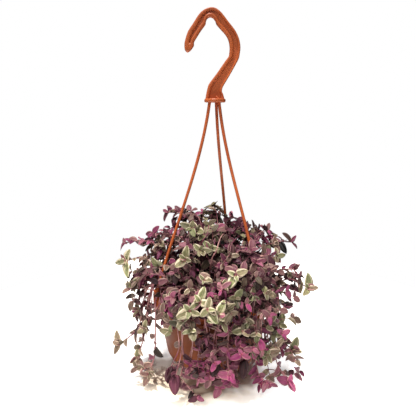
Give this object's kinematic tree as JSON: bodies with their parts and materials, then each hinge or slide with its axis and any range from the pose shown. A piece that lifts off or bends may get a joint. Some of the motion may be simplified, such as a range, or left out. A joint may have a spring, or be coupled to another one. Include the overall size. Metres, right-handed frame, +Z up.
{
  "type": "potted callisia in a hanging pot",
  "caption": "Leafy creeping houseplant with small green, cream and purple leaves in a plastic hanging pot with saucer, hook and straps, standing upright.",
  "frame": {"origin": "middle of the saucer's underside, on the surface that it stands on", "axes": "+Z up through the pot, its hanger and its hook; the hook lies in the XZ plane and opens towards -X; -Y is the front"},
  "size_m": [0.2309, 0.2044, 0.4016],
  "materials": {
    "hanger_plastic": "moulded terracotta-coloured plastic, satin, with faint flow marks",
    "pot_plastic": "moulded brown terracotta plastic, slightly dull, dusted with soil at the rim",
    "soil": "dark, damp, crumbly peat with fibres",
    "leaf_variegated": "green leaf with cream and pink edges, purple underneath, slightly fleshy, on a dark red stem",
    "leaf_magenta": "magenta and purple leaf, slightly fleshy, on a dark red stem",
    "leaf_shaded": "older grey-purple leaf with a thin pale edge, on a dark red stem"
  },
  "bodies": {
    "root": {"pot": "pot_plastic", "saucer": "pot_plastic", "soil": "soil", "hanger": "hanger_plastic", "leafy_stem_01": "leaf_magenta", "leafy_stem_02": "leaf_variegated", "leafy_stem_03": "leaf_variegated", "leafy_stem_04": "leaf_variegated", "leafy_stem_05": "leaf_variegated", "leafy_stem_06": "leaf_shaded", "leafy_stem_07": "leaf_shaded", "leafy_stem_08": "leaf_shaded", "leafy_stem_09": "leaf_magenta", "leafy_stem_10": "leaf_shaded", "leafy_stem_11": "leaf_shaded", "leafy_stem_12": "leaf_shaded", "leafy_stem_13": "leaf_shaded", "leafy_stem_14": "leaf_shaded", "leafy_stem_15": "leaf_shaded", "leafy_stem_16": "leaf_shaded", "leafy_stem_17": "leaf_shaded", "leafy_stem_18": "leaf_variegated", "leafy_stem_19": "leaf_shaded", "leafy_stem_20": "leaf_variegated", "leafy_stem_21": "leaf_variegated", "leafy_stem_22": "leaf_shaded", "leafy_stem_23": "leaf_magenta", "leafy_stem_24": "leaf_magenta", "leafy_stem_25": "leaf_shaded", "leafy_stem_26": "leaf_magenta", "leafy_stem_27": "leaf_magenta", "leafy_stem_28": "leaf_variegated", "leafy_stem_29": "leaf_variegated", "leafy_stem_30": "leaf_variegated", "leafy_stem_31": "leaf_variegated", "leafy_stem_32": "leaf_variegated", "leafy_stem_33": "leaf_variegated", "leafy_stem_34": "leaf_variegated", "leafy_stem_35": "leaf_variegated", "leafy_stem_36": "leaf_variegated", "leafy_stem_37": "leaf_variegated", "leafy_stem_38": "leaf_shaded", "leafy_stem_39": "leaf_magenta", "leafy_stem_40": "leaf_shaded", "leafy_stem_41": "leaf_shaded", "leafy_stem_42": "leaf_shaded", "leafy_stem_43": "leaf_shaded", "leafy_stem_44": "leaf_variegated", "leafy_stem_45": "leaf_shaded", "leafy_stem_46": "leaf_shaded", "leafy_stem_47": "leaf_variegated", "leafy_stem_48": "leaf_magenta", "leafy_stem_49": "leaf_shaded", "leafy_stem_50": "leaf_shaded", "leafy_stem_51": "leaf_variegated", "leafy_stem_52": "leaf_magenta", "leafy_stem_53": "leaf_shaded", "leafy_stem_54": "leaf_shaded", "leafy_stem_55": "leaf_variegated", "leafy_stem_56": "leaf_magenta"}
  },
  "joints": []
}
